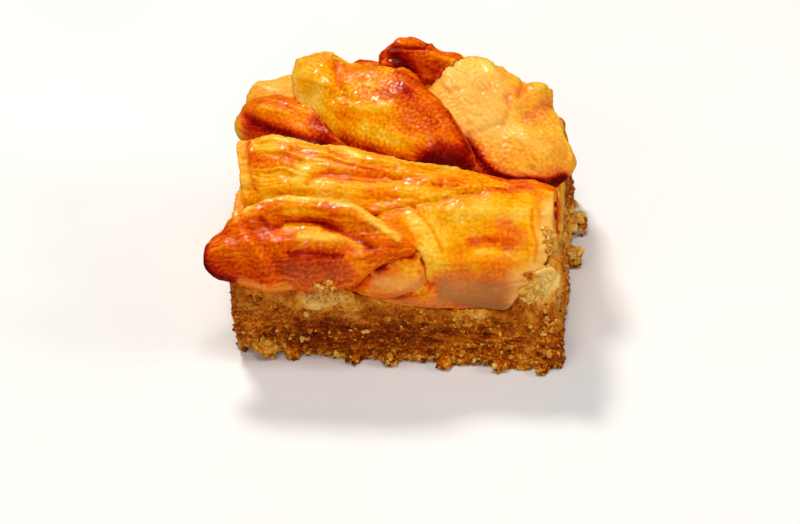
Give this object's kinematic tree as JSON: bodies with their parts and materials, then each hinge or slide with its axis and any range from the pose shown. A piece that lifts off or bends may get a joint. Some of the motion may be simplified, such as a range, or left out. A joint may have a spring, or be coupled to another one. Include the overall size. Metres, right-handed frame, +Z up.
{
  "type": "apple tart slice",
  "caption": "Hand-cut square of apple tray tart: a crumbly baked base, a layer of custard and a heap of glazed cooked apple slices on top.",
  "frame": {"origin": "middle of the tart's flat underside", "axes": "+Z up, +X to the right along the front cut, +Y from the front cut to the back one"},
  "size_m": [0.0847, 0.0754, 0.0483],
  "materials": {
    "apple_centre_top": "cooked apple flesh under a thin glaze",
    "apple_front_left": "cooked apple flesh under a thin glaze",
    "apple_back_right": "cooked apple flesh under a thin glaze",
    "apple_back_top": "cooked apple flesh under a thin glaze",
    "apple_centre_back": "cooked apple flesh under a thin glaze",
    "apple_back_left": "cooked apple flesh under a thin glaze",
    "apple_left_rim": "cooked apple flesh under a thin glaze",
    "apple_middle_left": "cooked apple flesh under a thin glaze",
    "apple_middle_right": "cooked apple flesh under a thin glaze",
    "apple_front_middle": "cooked apple flesh under a thin glaze",
    "apple_front_right": "cooked apple flesh under a thin glaze",
    "apple_rear_middle": "cooked apple flesh under a thin glaze",
    "apple_rear_right": "cooked apple flesh under a thin glaze",
    "apple_rear_left": "cooked apple flesh under a thin glaze",
    "apple_right_side": "cooked apple flesh under a thin glaze",
    "apple_left_side": "cooked apple flesh under a thin glaze",
    "custard": "set baked custard",
    "crust": "golden-brown baked crumb"
  },
  "bodies": {
    "root": {"apple_centre_top": "apple_centre_top", "apple_front_left": "apple_front_left", "apple_back_right": "apple_back_right", "apple_back_top": "apple_back_top", "apple_centre_back": "apple_centre_back", "apple_back_left": "apple_back_left", "apple_left_rim": "apple_left_rim", "apple_middle_left": "apple_middle_left", "apple_middle_right": "apple_middle_right", "apple_front_middle": "apple_front_middle", "apple_front_right": "apple_front_right", "apple_rear_middle": "apple_rear_middle", "apple_rear_right": "apple_rear_right", "apple_rear_left": "apple_rear_left", "apple_right_side": "apple_right_side", "apple_left_side": "apple_left_side", "custard": "custard", "crust": "crust"}
  },
  "joints": []
}
